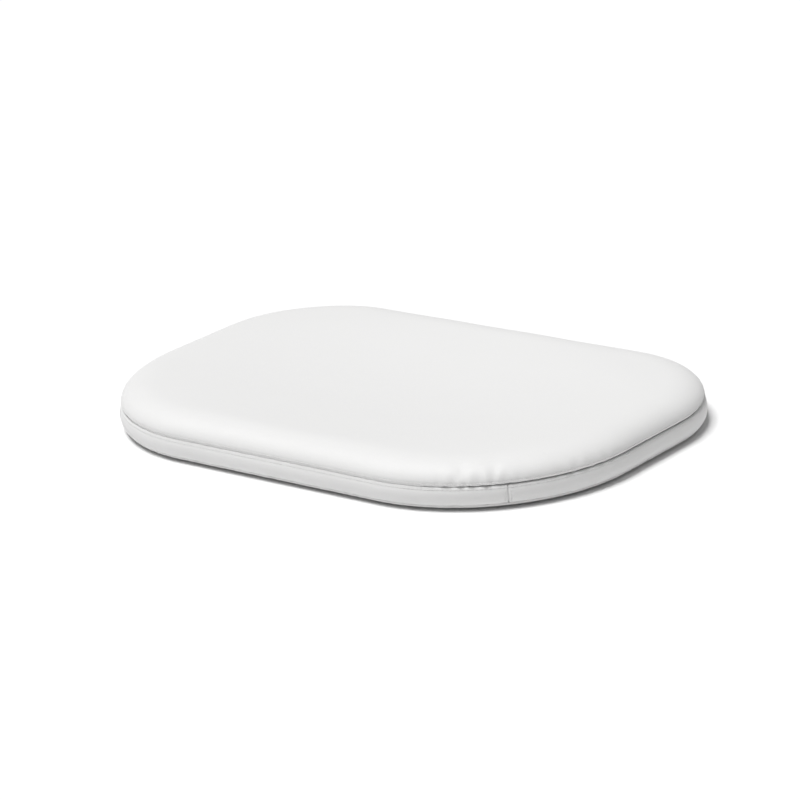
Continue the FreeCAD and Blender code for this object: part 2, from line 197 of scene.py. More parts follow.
def distance_round(s, place):
    """Signed distance round the outline from a place on it."""
    return (np.asarray(s) - place + PERIMETER / 2) % PERIMETER - PERIMETER / 2


def near(s, places, reach):
    """1 at the places, falling to 0 over reach."""
    return np.max([bump(distance_round(s, place), reach) for place in places], axis=0)


# SLACK_SIZE is the height of a wave that is SLACK_LENGTH long.
SLACK_WAVES = 12
SLACK_SIZE, SLACK_LENGTH = 0.045, 110
waves = np.random.default_rng(11)
SLACK = [
    (angle, 2 * math.pi / length, phase, SLACK_SIZE * length / SLACK_LENGTH)
    for angle, length, phase in zip(
        waves.uniform(0, math.pi, SLACK_WAVES),
        waves.uniform(45, 130, SLACK_WAVES),
        waves.uniform(0, 6.28, SLACK_WAVES),
    )
]


def slack(x, y):
    """The leather's slight unevenness over the padding."""
    total = 0
    for angle, number, phase, size in SLACK:
        along = x * math.cos(angle) + y * math.sin(angle)
        total = total + size * np.sin(number * along + phase)
    return total


# How far the cover stands out: the side band midway between its seams, and the top panel most at
# TOP_FULLEST from its seam. Beside the zip it stands out by only ZIP_SHARE of that.
SIDE_FULLNESS = 2.4
TOP_FULLNESS, TOP_FULLEST = 0.7, 7.0
ZIP_SHARE = 0.15
ZIP_MIDDLE = (REAR_RIGHT_JOIN + REAR_LEFT_JOIN) / 2
ZIP_HELD, ZIP_FREE = 150, 260


def fullness(t, s):
    """How far the stuffed cover stands out between its seams."""
    t = np.asarray(t, float)[:, None]
    down = np.clip(t / TUCK_T, 0, 1)
    up = np.clip(t / TOP_FULLEST, 0, None)
    from_zip = np.abs(distance_round(s, ZIP_MIDDLE))[None]
    share = ZIP_SHARE + (1 - ZIP_SHARE) * smoothstep(ZIP_HELD, ZIP_FREE, from_zip)
    side = SIDE_FULLNESS * share * np.sin(math.pi * down) ** 0.85
    return side + TOP_FULLNESS * up * np.exp(1 - up)


def base(t, s):
    """Points of the cover before any sewing, on the grid of t and s."""
    inset, z = profile(t)
    point, normal = outline(s)
    outward = fullness(t, s) - inset[:, None]
    xy = point[None] + outward[..., None] * normal[None]
    x, y = xy[..., 0], xy[..., 1]
    z = np.broadcast_to(z[:, None], x.shape) - dish(x, y) * (np.asarray(t) > 0)[:, None]
    return np.stack([x, y, z], -1)


# -------- columns round the outline

DISTANCE_KNOTS = np.array(
    [FRONT_RIGHT_JOIN, REAR_RIGHT_CORNER, REAR_RIGHT_JOIN, REAR_LEFT_JOIN]
    + [REAR_LEFT_CORNER, FRONT_LEFT_JOIN, PERIMETER]
)


def ring_quads(index, closed):
    """Quads between the rows of index. closed joins the last column to the first."""
    after = np.roll(index, -1, axis=1)
    width = index.shape[1] if closed else index.shape[1] - 1
    quads = np.stack([index[:-1], after[:-1], after[1:], index[1:]], -1)[:, :width]
    return quads.reshape(-1, 4)


def tube_mesh(rings):
    """Points and faces of a closed tube with flat ends, from its rings of points."""
    index = np.arange(rings.shape[0] * rings.shape[1]).reshape(rings.shape[:2])
    faces = ring_quads(index, True).tolist() + [index[0].tolist(), index[-1].tolist()]
    return rings.reshape(-1, 3), faces


class Layout:
    """Columns round the outline, and a grid of across_x by across_y quads for a panel's middle.

    Two columns meet each quad at the grid's edge, and rear_corner of them lie between the middle
    of a rear corner and its join.
    """

    def __init__(self, across_x, across_y, rear_corner):
        rear = [rear_corner, 2 * across_x - 2 * rear_corner, rear_corner]
        self.knots = np.cumsum([0, 2 * across_y, *rear, 2 * across_y, 2 * across_x])
        self.columns = int(self.knots[-1])
        self.s = np.interp(np.arange(self.columns), self.knots, DISTANCE_KNOTS)
        self.share, self.place, numbers = [], [], {}
        half = self.columns // 2
        for i in range(across_x + 1):
            for j in range(across_y + 1):
                a, b = 2 * i / across_x - 1, 2 * j / across_y - 1
                size = max(abs(a), abs(b))
                if size == 0:
                    column = 0.0
                elif a == size:
                    column = across_y * (b / size + 1) / 2
                elif b == size:
                    column = across_y + across_x * (1 - a / size) / 2
                elif a == -size:
                    column = across_y + across_x + across_y * (1 - b / size) / 2
                else:
                    column = 2 * across_y + across_x + across_x * (a / size + 1) / 2
                if size == 1:
                    numbers[i, j] = int(round(column)) % half
                else:
                    numbers[i, j] = half + len(self.share)
                    self.share.append(size)
                    self.place.append(column)
        self.share, self.place = np.array(self.share), np.array(self.place)
        self.middle_faces = [
            (numbers[i, j], numbers[i + 1, j], numbers[i + 1, j + 1], numbers[i, j + 1])
            for i in range(across_x)
            for j in range(across_y)
        ]

    def faces(self, rows, upward):
        """Faces of a panel: rows of columns, then a ring of half as many, and the middle."""
        index = np.arange(rows * self.columns).reshape(rows, self.columns)
        faces = ring_quads(index, True).tolist()
        half = self.columns // 2
        ring = rows * self.columns
        last = ring - self.columns
        for k in range(half):
            a, b, c = last + 2 * k, last + 2 * k + 1, last + (2 * k + 2) % self.columns
            p, q = ring + k, ring + (k + 1) % half
            faces += [(a, b, p), (b, q, p), (b, c, q)]
        faces += [[ring + v for v in face] for face in self.middle_faces]
        return [tuple(f) if upward else tuple(reversed(f)) for f in faces]

    def middle(self, inset, height):
        """The ring's and the middle's points, with z from height(x, y)."""
        point, normal = outline(self.s[::2])
        ring = point - inset * normal
        half = len(ring)
        first = np.floor(self.place).astype(int) % half
        share = (self.place % 1)[:, None]
        on_ring = ring[first] * (1 - share) + ring[(first + 1) % half] * share
        xy = np.vstack([ring, on_ring * self.share[:, None]])
        return np.column_stack([xy, height(xy[:, 0], xy[:, 1])])


FINE = Layout(128, 78, 49)
COARSE = Layout(32, 20, 12)


class Leather:
    """A grid of points over (t, s) that can be read smoothly anywhere between them."""

    def __init__(self, t, points):
        self.t = np.asarray(t, float)
        self.points = points
        along_t = np.gradient(points, axis=0)
        along_s = np.roll(points, -1, axis=1) - np.roll(points, 1, axis=1)
        normals = np.cross(along_s, along_t)
        self.normals = normals / np.linalg.norm(normals, axis=2, keepdims=True)

    def read(self, t, s):
        """Points and outward normals on the grid of t and s."""
        row = np.interp(t, self.t, np.arange(len(self.t)))
        column = np.interp(np.asarray(s) % PERIMETER, DISTANCE_KNOTS, FINE.knots)
        points = across(across(self.points, row, 0, False), column, 1, True)
        normals = across(across(self.normals, row, 0, False), column, 1, True)
        return points, normals / np.linalg.norm(normals, axis=2, keepdims=True)


def across(values, places, axis, wraps):
    """values read at fractional places along an axis, with a smooth cubic."""
    count = values.shape[axis]
    first = np.floor(places).astype(int)
    if not wraps:
        first = np.clip(first, 0, count - 2)
    share = places - first
    shape = [1] * values.ndim
    shape[axis] = -1
    share = share.reshape(shape)
    around = []
    for step in (-1, 0, 1, 2):
        index = (first + step) % count if wraps else np.clip(first + step, 0, count - 1)
        around.append(np.take(values, index, axis=axis))
    a, b, c, d = around
    return b + 0.5 * share * (
        c - a + share * (2 * a - 5 * b + 4 * c - d + share * (3 * (b - c) + d - a))
    )


# -------- cloth simulation

CLOTH_FRAMES = 14
MOST_MOVE = 3.0
CLOTH = {
    "quality": 5,
    "mass": 0.3,
    "tension_stiffness": 12,
    "compression_stiffness": 12,
    "shear_stiffness": 5,
    "bending_stiffness": 0.02,
    "air_damping": 2,
    "use_pressure": True,
    "uniform_pressure_force": 1.0,
    "vertex_group_mass": "pins",
    "pin_stiffness": 1,
}


def relax(name, start, cut, weights):
    """Runs the leather as cloth from its start towards the size it was cut to."""
    rows, columns = start.shape[:2]
    index = np.arange(rows * columns).reshape(rows, columns)
    quads = ring_quads(index, True)
    mesh = bpy.data.meshes.new(name)
    mesh.from_pydata((start.reshape(-1, 3) * MM).tolist(), [], quads.tolist())
    obj = bpy.data.objects.new(name, mesh)
    bpy.context.scene.collection.objects.link(obj)
    pins = obj.vertex_groups.new(name="pins")
    for row, weight in enumerate(weights):
        pins.add(index[row].tolist(), float(weight), "REPLACE")
    obj.shape_key_add(name="start")
    cut_key = obj.shape_key_add(name="cut")
    cut_key.data.foreach_set("co", (cut.reshape(-1, 3) * MM).ravel())
    cut_key.value = 0
    cloth = obj.modifiers.new("cloth", "CLOTH")
    cloth.point_cache.frame_start = 1
    cloth.point_cache.frame_end = CLOTH_FRAMES
    for setting, value in CLOTH.items():
        setattr(cloth.settings, setting, value)
    cloth.settings.rest_shape_key = cut_key
    cloth.settings.effector_weights.gravity = 0
    cloth.collision_settings.use_collision = False
    scene = bpy.context.scene
    for number in range(1, CLOTH_FRAMES + 1):
        scene.frame_set(number)
    result = obj.evaluated_get(bpy.context.evaluated_depsgraph_get()).data
    moved = np.empty(rows * columns * 3)
    result.vertices.foreach_get("co", moved)
    bpy.data.objects.remove(obj)
    scene.frame_set(1)
    moved = moved.reshape(rows, columns, 3) / MM
    shift = moved - start
    size = np.linalg.norm(shift, axis=2, keepdims=True)
    return start + shift * np.minimum(1, MOST_MOVE / np.maximum(size, 1e-9))


# The largest folds, round the front right corner's join: each one's middle from the join, width,
# length up the panel, lean and depth.
FRONT_RIGHT_FOLDS = [
    (-63, 3.6, 12, 0.20, 1.1),
    (-50, 3.8, 16, -0.30, 2.0),
    (-38, 2.8, 21, 0.22, 2.4),
    (-27, 3.8, 14, 0.05, 1.8),
    (-14, 2.6, 22, -0.18, 2.1),
    (-6, 3.4, 12, -0.40, 1.2),
    (9, 3.0, 12, -0.25, 0.8),
    (50, 3.8, 9, 0.20, 1.1),
    (65, 3.0, 11, -0.20, 1.5),
    (84, 4.0, 9, 0.10, 1.2),
    (100, 3.2, 10, -0.15, 1.4),
    (117, 3.8, 8, 0.20, 0.9),
]

# Small gathers, where the top panel's edge is eased round each corner: their middle, reach and
# depth.
GATHERED = [
    (FRONT_RIGHT_JOIN + 10, 100, 0.45),
    (FRONT_LEFT_JOIN + 10, 80, 1.0),
    (REAR_RIGHT_CORNER, 75, 0.5),
    (REAR_LEFT_CORNER, 75, 0.5),
]


def draw_folds():
    """Each fold's middle, width, length up the panel, lean and depth."""
    draw = np.random.default_rng(23)
    folds = list(FRONT_RIGHT_FOLDS)
    for middle, reach, depth in GATHERED:
        place = -1.3 * reach
        while place < 1.3 * reach:
            fall = math.exp(-((place / reach) ** 2))
            folds.append(
                (
                    middle + place,
                    draw.uniform(1.5, 3.0),
                    draw.uniform(5, 17) * (0.6 + 0.4 * fall),
                    draw.uniform(-0.3, 0.3),
                    depth * fall * draw.uniform(0.3, 1.0),
                )
            )
            place += draw.uniform(4.5, 12)
    return folds


FOLDS = draw_folds()


# A fold is FOLD_FAN up the panel when it is twice as wide as at the seam, it reaches its depth
# within a few times FOLD_START of the seam, and the leather stands up a little on both sides.
FOLD_FAN, FOLD_START = 11.0, 1.6
FOLD_SIDES, FOLD_SIDES_WIDTH = 0.45, 2.1


def gathers(t, s):
    """How far the folds sink into the top panel, in millimetres."""
    t = np.clip(np.asarray(t), 0, None)[:, None]
    total = np.zeros((len(t), len(s)))
    for middle, width, length, lean, depth in FOLDS:
        gap = distance_round(s, middle)[None] + lean * t
        wide = width * (1 + t / FOLD_FAN)
        across_fold = bump(gap, wide) - FOLD_SIDES * bump(gap, FOLD_SIDES_WIDTH * wide)
        total += depth * across_fold * (1 - np.exp(-t / FOLD_START)) * bump(t, length)
    return total


def cut_shape(t, s, ease):
    """The top band as it was cut: its roll over the rim opened out by ease, from 0 to 1."""
    fine = np.linspace(0, t[-1], 1500)
    inset, z = profile(fine)
    slope = np.arctan2(np.gradient(z), np.gradient(inset))
    at = np.empty((len(t), len(s), 3))
    point, normal = outline(s)
    step = fine[1] - fine[0]
    for column, share in enumerate(ease):
        flatter = slope * (1 - share)
        between = (flatter[1:] + flatter[:-1]) / 2
        run, rise = running(np.cos(between)) * step, running(np.sin(between)) * step
        d = np.interp(t, fine, inset[-1] - run[-1] + run)
        at[:, column, :2] = point[column] - d[:, None] * normal[column]
        at[:, column, 2] = np.interp(t, fine, z[-1] - rise[-1] + rise)
    return at


def make_top_leather():
    t = np.concatenate([np.arange(0, 34, 2.0), np.linspace(34, BAND_T, 10)])
    start = base(t, FINE.s)
    folded = start - gathers(t, FINE.s)[..., None] * Leather(t, start).normals
    front = near(FINE.s, (FRONT_RIGHT_JOIN, FRONT_LEFT_JOIN), 75)
    rear = near(FINE.s, (REAR_RIGHT_CORNER, REAR_LEFT_CORNER), 60)
    ease = 0.05 + 0.9 * front + 0.45 * rear
    cut = cut_shape(t, FINE.s, ease)
    x, y = start[..., 0], start[..., 1]
    cut[..., 2] -= dish(x, y)
    weights = 0.02 + 0.5 * smoothstep(18, 50, t)
    weights[0] = 1
    weights[-2:] = 1
    return Leather(t, relax("top_band", folded, cut, weights))


SIDE_SPARE = 1.012


def make_side_leather():
    """The side band, cut wider by SIDE_SPARE than the gap between its seams."""
    t = np.linspace(TUCK_T, 0, 14)
    start = base(t, FINE.s)
    cut = start.copy()
    cut[..., 2] = SEAM_Z + (cut[..., 2] - SEAM_Z) * SIDE_SPARE
    weights = np.full(len(t), 0.04)
    weights[0] = 1
    weights[-1] = 1
    return Leather(t, relax("side_band", start, cut, weights))


# -------- sewing: valleys, puckers

# Depths and widths of the seams' valleys and of the grooves that the stitch rows pull.
STITCH_GAP = 2.6
VALLEY, VALLEY_WIDTH = 1.25, 1.1
FRONT_SHARE = 0.25
SEAM_DEPTH, ROW_DEPTH, ROW_WIDTH = 1.3, 0.32, 1.0
JOIN_ROW_DEPTH = 0.3
UPPER_PUCKER, UPPER_REACH = 0.13, 6
TUCK_PUCKER, TUCK_REACH = 0.12, 5
JOIN_DIP, JOIN_DIP_WIDTH, JOIN_DIP_UP = 0.5, 3.5, 6
rng = np.random.default_rng(7)
PUCKER_KNOTS = np.arange(0, PERIMETER, 3.3)
PUCKERS = rng.normal(0, 1, (4, len(PUCKER_KNOTS)))
TOP_PUCKERS, SIDE_PUCKERS, TUCK_PUCKERS = 0, 1, 2


def pucker(seam, s):
    """Small seeded unevenness along a seam."""
    place = (np.asarray(s) % PERIMETER) / PERIMETER * len(PUCKER_KNOTS)
    return across(PUCKERS[seam], place, 0, True)


def valley(s):
    """How deep the upper seam lies. It shows least along the front."""
    front_middle = PERIMETER - FRONT_X - FRONT_RADIUS * QUARTER / 2
    away = np.abs(distance_round(s, front_middle))
    share = smoothstep(FRONT_X + 30, FRONT_X + 120, away)
    return VALLEY * (FRONT_SHARE + (1 - FRONT_SHARE) * share)


def sewn_depth(t, s, kind):
    """How far sewing pulls the leather in at the grid of t and s, for one kind of panel."""
    t = np.asarray(t)[:, None]
    s = np.asarray(s)[None]
    depth = np.zeros(np.broadcast(t, s).shape)
    if kind in ("top", "side"):
        row, puckers = (STITCH_GAP, TOP_PUCKERS) if kind == "top" else (-STITCH_GAP, SIDE_PUCKERS)
        depth += valley(s) * bump(t, VALLEY_WIDTH)
        depth += ROW_DEPTH * bump(t - row, ROW_WIDTH)
        depth += UPPER_PUCKER * pucker(puckers, s) * np.exp(-np.abs(t) / UPPER_REACH)
    if kind in ("side", "bottom"):
        depth += SEAM_DEPTH * bump(t - TUCK_T, ROW_WIDTH)
        fall = np.exp(-np.abs(t - TUCK_T) / TUCK_REACH)
        depth += TUCK_PUCKER * pucker(TUCK_PUCKERS, s) * fall
    if kind == "side":
        for join in JOINS:
            gap = distance_round(s, join)
            rows = bump(gap - STITCH_GAP, ROW_WIDTH) + bump(gap + STITCH_GAP, ROW_WIDTH)
            depth += SEAM_DEPTH * bump(gap, ROW_WIDTH)
            depth += JOIN_ROW_DEPTH * rows
    if kind == "top":
        for join in JOINS:
            gap = distance_round(s, join)
            depth += JOIN_DIP * bump(gap, JOIN_DIP_WIDTH) * bump(t, JOIN_DIP_UP)
    return depth


# -------- making meshes


def link(name, mesh):
    obj = bpy.data.objects.new(name, mesh)
    bpy.context.scene.collection.objects.link(obj)
    return obj


def make_piece(name, points, faces, material, body="cushion", nodes=(), smooth=True):
    """A mesh object from points in millimetres, riding on a body."""
    mesh = bpy.data.meshes.new(name)
    faces = [tuple(int(v) for v in f) for f in faces]
    mesh.from_pydata((np.asarray(points) * MM).tolist(), [], faces)
    turned = bmesh.new()
    turned.from_mesh(mesh)
    bmesh.ops.recalc_face_normals(turned, faces=turned.faces)
    turned.to_mesh(mesh)
    turned.free()
    mesh.materials.append(material)
    mesh.polygons.foreach_set("use_smooth", [smooth] * len(mesh.polygons))
    mesh.update()
    obj = link(name, mesh)
    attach(obj, body)
    if nodes:
        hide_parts(*nodes)
    return obj


def shell(outer, inner, faces):
    """Points and faces of a closed sheet: outer, inner turned over, and walls round its edges."""
    count = len(outer)
    edges = {}
    for face in faces:
        for a, b in zip(face, face[1:] + face[:1]):
            edges[(a, b)] = True
    walls = [(b, a, a + count, b + count) for a, b in edges if (b, a) not in edges]
    back = [tuple(v + count for v in reversed(face)) for face in faces]
    return np.vstack([outer, inner]), faces + back + walls


def add_numbers(obj, name, values):
    """A number at each vertex, for the material."""
    layer = obj.data.attributes.new(name, "FLOAT", "POINT")
    layer.data.foreach_set("value", np.asarray(values, np.float32))


def inner_offset(t, kind):
    """How far inside the unsewn surface the leather's back lies."""
    reach = bump(t, 1.8)
    if kind != "top":
        reach = reach + bump(t - TUCK_T, 1.8)
    return LEATHER + VALLEY * np.clip(reach, 0, 1)


def side_panel(name, leather, t, s, nodes, material, fold=None):
    """A strip of boxing between two joins. fold is where it is turned under beside the zip."""
    points, normals = leather.read(t, s)
    depth = sewn_depth(t, s, "side")
    back = inner_offset(t, "side")
    if fold is not None:
        depth = depth + FOLD_ROLL * bump(np.asarray(t)[:, None] - fold, FOLD_ROLL_WIDTH)
        back = np.maximum(back, 2 * LEATHER)
    outer = points - depth[..., None] * normals
    inner = points - back[:, None, None] * normals
    index = np.arange(len(t) * len(s)).reshape(len(t), len(s))
    faces = [tuple(q) for q in ring_quads(index, False).tolist()]
    all_points, all_faces = shell(outer.reshape(-1, 3), inner.reshape(-1, 3), faces)
    obj = make_piece(name, all_points, all_faces, material, nodes=nodes)
    # The sewn depth at each vertex, which the material turns into painted shade in the creases.
    add_numbers(obj, "crease", np.concatenate([depth.ravel(), depth.ravel()]))


def wide_panel(kind, t, points, normals, middle, material):
    """The cover's top or bottom panel: its band, sewn at the edge, and its middle."""
    upward = kind == "top"
    depth = sewn_depth(t, FINE.s, kind)
    outer = points - depth[..., None] * normals
    inner = points - inner_offset(t, kind)[:, None, None] * normals
    behind = middle - (0, 0, LEATHER if upward else -LEATHER)
    all_points, all_faces = shell(
        np.vstack([outer.reshape(-1, 3), middle]),
        np.vstack([inner.reshape(-1, 3), behind]),
        FINE.faces(len(t), upward),
    )
    obj = make_piece(
        f"{kind}_panel", all_points, all_faces, material,
        nodes=[f"cover_{kind}_panel"],
    )
    # The sewn depth, which the material turns into painted shade in the creases; the middle has
    # none.
    crease = np.concatenate([depth.ravel(), np.zeros(len(middle))])
    add_numbers(obj, "crease", np.concatenate([crease, crease]))


TOP_T = np.array(
    [0, 0.4, 0.9, 1.5, 2.2, 3.2, 4.2, 5.2, 6.4, 7.8, 9.4, 11.2, 13.2, 15.4, 17.8, 20.4]
    + [23.2, 26.4, 30, 34, 38.5, 43.5, 49, 55, 61, BAND_T - 3]
)


def top_height(x, y):
    return PAD_TOP - dish(x, y) + slack(x, y)


def make_top_panel(leather, material):
    points, normals = leather.read(TOP_T, FINE.s)
    points[..., 2] += slack(points[..., 0], points[..., 1]) * smoothstep(2, 24, TOP_T)[:, None]
    wide_panel("top", TOP_T, points, normals, FINE.middle(BAND_IN, top_height), material)


BOTTOM_T = TUCK_T - np.array(
    [0, 0.4, 0.9, 1.5, 2.2, 3, 4, 5, 6.2, 8, 10, 13, 17, 22, 28, 36, 46, 56]
)


def bottom_height(x, y):
    return FLOOR_Z + 0.35 * slack(x + 40, y - 25)


def make_bottom_panel(material):
    points = base(BOTTOM_T, FINE.s)
    leather = Leather(BOTTOM_T, points)
    normals = -leather.normals
    down = smoothstep(4, 20, TUCK_T - BOTTOM_T)[:, None]
    points[..., 2] += down * (bottom_height(points[..., 0], points[..., 1]) - FLOOR_Z)
    middle = FINE.middle(profile(BOTTOM_T[-1] - 4)[0], bottom_height)
    wide_panel("bottom", BOTTOM_T, points, normals, middle, material)


# Rows and columns lie closer together beside a seam: NEAR_SEAM from it, then none until CLEAR.
FOLD_ROLL, FOLD_ROLL_WIDTH = 1.0, 0.7
NEAR_SEAM = np.array([0, 0.4, 0.9, 1.5, 2.2, 3.2, 4.2])
CLEAR = 5.4
SIDE_T = np.concatenate(
    [-NEAR_SEAM, np.linspace(-5.6, TUCK_T + 5.6, 6), (TUCK_T + NEAR_SEAM)[::-1]]
)


def columns_between(start, end):
    """Columns from one join to the next, with more near both."""
    inside = FINE.s[(FINE.s > start + CLEAR) & (FINE.s < end - CLEAR)]
    return np.concatenate([start + NEAR_SEAM, inside, end - NEAR_SEAM[::-1]])


# -------- the filling


def unsewn(layout, t, offset):
    """The cover's shape before sewing, moved inwards, with its middle."""
    points = base(t, layout.s)
    normals = Leather(t, points).normals
    if t[-1] < t[0]:
        normals = -normals
    middle = layout.middle(profile(t[-1])[0] + 6, lambda x, y: PAD_TOP - dish(x, y) - offset)
    return np.vstack([(points - offset * normals).reshape(-1, 3), middle])


def filling_piece(name, outer, inner, rows, material, slot, node, fill):
    """A closed piece of filling between two surfaces of the coarse layout."""
    points, faces = shell(outer, inner, COARSE.faces(rows, True))
    piece = make_piece(name, points, faces, material, nodes=[node])


def make_layer(name, t, top_offset, bottom, material, slot, node):
    """A layer of filling. bottom is a level, or an offset for a layer of even thickness."""
    outer = unsewn(COARSE, t, top_offset)
    if bottom[0] == "offset":
        inner = unsewn(COARSE, t, bottom[1])
    else:
        inner = outer.copy()
        # The level underside's rings step inwards as the rows above them climb the rim.
        rings = np.arange(len(t)) * 1.5
        point, normal = outline(COARSE.s)
        flat = point[None] - (top_offset + rings)[:, None, None] * normal[None]
        inner[: len(t) * COARSE.columns, :2] = flat.reshape(-1, 2)
        inner[:, 2] = bottom[1]
        inner[COARSE.columns * len(t):, :2] *= 0.97
    filling_piece(name, outer, inner, len(t), material, slot, node, 0.7)


# The block's cut edge: distance in from its side, and drop from its face.
BLOCK_EDGE = [(0, 1.6), (0.45, 0.45), (1.6, 0), (6, 0), (14, 0)]


def make_block(name, material, slot, node):
    """A flat block of filling as large as its CAD node, with its cut edges a little rounded."""
    low, high = box(node)
    side = HALF_LENGTH - high[0]
    point, normal = outline(COARSE.s)
    halves = []
    for level, towards in ((high[2], -1), (low[2], 1)):
        rings = []
        for inset, drop in BLOCK_EDGE:
            height = np.full(len(point), level + towards * drop)
            rings.append(np.column_stack([point - (side + inset) * normal, height]))
        middle = COARSE.middle(side + 24, lambda x, y: np.full(len(x), level))
        halves.append(np.vstack(rings + [middle]))
    filling_piece(name, *halves, len(BLOCK_EDGE), material, slot, node, 1.0)


# -------- sewing thread

# STITCH_STEPS are places along one stitch, as shares of its length, and STITCH_LIFT is how far
# above the leather the thread is at each.
THREAD = 0.34
STITCH = 4.0
STITCH_STEPS = np.array([-0.47, -0.42, -0.25, 0, 0.25, 0.42, 0.47])
STITCH_LIFT = np.array([-0.75, -0.1, 0.2, 0.26, 0.2, -0.1, -0.75])


def tubes(paths, radius, sides=6, reference=None):
    """Closed tubes along many paths at once. paths is (tubes, points, 3).

    reference is a direction that no path follows. Without it, each path lies in a plane.
    """
    ahead = np.gradient(paths, axis=1)
    ahead /= np.linalg.norm(ahead, axis=2, keepdims=True)
    if reference is None:
        middle = paths[:, paths.shape[1] // 2]
        reference = np.cross(paths[:, -1] - paths[:, 0], middle - paths[:, 0])[:, None]
    first = reference - ahead * np.sum(reference * ahead, axis=2, keepdims=True)
    first /= np.linalg.norm(first, axis=2, keepdims=True)
    second = np.cross(ahead, first)
    angle = (np.arange(sides) / sides * 2 * math.pi)[None, None, :, None]
    ring = paths[:, :, None] + radius * (
        first[:, :, None] * np.cos(angle) + second[:, :, None] * np.sin(angle)
    )
    points, one = tube_mesh(ring[0])
    faces = [[v + k * len(points) for v in face] for k in range(len(paths)) for face in one]
    return ring.reshape(-1, 3), faces


def stitches_along(leather, kind, t, s, across_s=False):
    """Thread paths for a row of stitches. The row runs along s, or along t if across_s."""
    steps = STITCH_STEPS * STITCH
    paths = []
    for middle in t if across_s else s:
        rows, columns = (middle + steps, [s]) if across_s else ([t], middle + steps)
        points, normals = leather.read(np.array(rows), np.array(columns))
        depth = sewn_depth(rows, columns, kind)
        lifted = points - (depth - STITCH_LIFT.reshape(depth.shape))[..., None] * normals
        paths.append(lifted.reshape(-1, 3))
    return np.array(paths)


# -------- materials

# Materials work in metres, as the meshes do. A wave texture of scale 1 repeats every WAVE_PERIOD.
WAVE_PERIOD = 0.314


def new_material(name):
    """A material with its node tree, its shader and the place on the piece."""
    material = bpy.data.materials.new(name)
    material.use_nodes = True
    tree = material.node_tree
    place = add_node(tree, "ShaderNodeTexCoord").outputs["Object"]
    return material, tree, tree.nodes["Principled BSDF"], place


def add_node(tree, kind, inputs=None, **settings):
    node = tree.nodes.new(kind)
    for key, value in settings.items():
        setattr(node, key, value)
    for key, value in (inputs or {}).items():
        socket = node.inputs[key]
        if hasattr(value, "is_output"):
            tree.links.new(value, socket)
        else:
            socket.default_value = value
    return node


def noise(tree, place, scale, detail, output="Fac"):
    inputs = {"Vector": place, "Scale": scale, "Detail": detail}
    return add_node(tree, "ShaderNodeTexNoise", inputs).outputs[output]


def maths(tree, kind, first, second):
    return add_node(tree, "ShaderNodeMath", {0: first, 1: second}, operation=kind).outputs[0]


def mix_colours(tree, share, first, second):
    inputs = {"Factor": share, "A": first, "B": second}
    return add_node(tree, "ShaderNodeMix", inputs, data_type="RGBA").outputs["Result"]


def remap(tree, value, source=(0.0, 1.0), target=(0.0, 1.0), curve="LINEAR"):
    """A value moved from one range to another."""
    inputs = {
        "Value": value, "From Min": source[0], "From Max": source[1],
        "To Min": target[0], "To Max": target[1],
    }
    return add_node(tree, "ShaderNodeMapRange", inputs, interpolation_type=curve).outputs[0]


def set_values(node, **values):
    """Sets a node's plain values by its inputs' names, with _ for each space."""
    for key, value in values.items():
        node.inputs[key.replace("_", " ")].default_value = value


def set_colour(tree, shader, colour):
    tree.links.new(colour, shader.inputs["Base Color"])


def set_relief(tree, shader, height, strength, distance):
    inputs = {"Height": height, "Strength": strength, "Distance": distance}
    relief = add_node(tree, "ShaderNodeBump", inputs)
    tree.links.new(relief.outputs[0], shader.inputs["Normal"])


def grain_height(tree, place, cell, fine):
    """Leather pebbles: cells with soft valleys, and fine pores over them."""
    warp = noise(tree, place, 1.6 / cell, 2.0, "Color")
    bend = add_node(
        tree, "ShaderNodeVectorMath", {0: warp, "Scale": 0.45 * cell}, operation="SCALE"
    )
    bent = add_node(
        tree, "ShaderNodeVectorMath", {0: place, 1: bend.outputs[0]}, operation="ADD"
    )
    cells = add_node(
        tree, "ShaderNodeTexVoronoi", {"Vector": bent.outputs[0], "Scale": 1 / cell},
        feature="DISTANCE_TO_EDGE",
    )
    rise = remap(tree, cells.outputs["Distance"], source=(0.0, 0.28), curve="SMOOTHSTEP")
    pores = maths(tree, "MULTIPLY", noise(tree, place, 1 / fine, 3.0), 0.35)
    return rise, maths(tree, "ADD", rise, pores)


def leather_material(name, colour, shade, cell=0.0014, strength=0.4):
    """Fine pebbled leather. Its valleys and some soft clouds are a little darker, and its sewn
    creases carry painted shade.
    """
    material, tree, shader, place = new_material(name)
    cells, height = grain_height(tree, place, cell, cell * 0.2)
    clouds = noise(tree, place, 14.0, 4.0)
    crease = add_node(tree, "ShaderNodeAttribute", attribute_name="crease").outputs["Fac"]
    # Painted shade: the sewn creases darken towards this deeper copy of the shade colour.
    painted_crease_shade = tuple(c * 0.55 for c in shade[:3]) + (1,)
    cloudy = remap(tree, clouds, source=(0.3, 0.7), target=(0.0, 0.16))
    between = remap(tree, cells, target=(0.12, 0.0))
    # How much painted shade each crease gets, from its sewn depth.
    creased = remap(tree, crease, source=(0.3, 1.5), target=(0.0, 0.3), curve="SMOOTHSTEP")
    leather = mix_colours(tree, cloudy, colour, shade)
    leather = mix_colours(tree, between, leather, shade)
    set_colour(tree, shader, mix_colours(tree, creased, leather, painted_crease_shade))
    rough = remap(tree, clouds, source=(0.25, 0.75), target=(0.5, 0.62))
    tree.links.new(rough, shader.inputs["Roughness"])
    set_relief(tree, shader, height, strength, 0.00016)
    set_values(shader, Specular_IOR_Level=0.42, Coat_Weight=0.05, Coat_Roughness=0.5)
    return material


def thread_material(name, colour):
    material, tree, shader, place = new_material(name)
    ply = add_node(
        tree, "ShaderNodeTexWave", {"Vector": place, "Scale": 900.0, "Distortion": 1.5},
        bands_direction="DIAGONAL",
    ).outputs["Fac"]
    shade = tuple(c * 0.82 for c in colour[:3]) + (1,)
    set_colour(tree, shader, mix_colours(tree, ply, shade, colour))
    set_relief(tree, shader, ply, 0.4, 0.00008)
    set_values(shader, Roughness=0.55, Sheen_Weight=0.3)
    return material


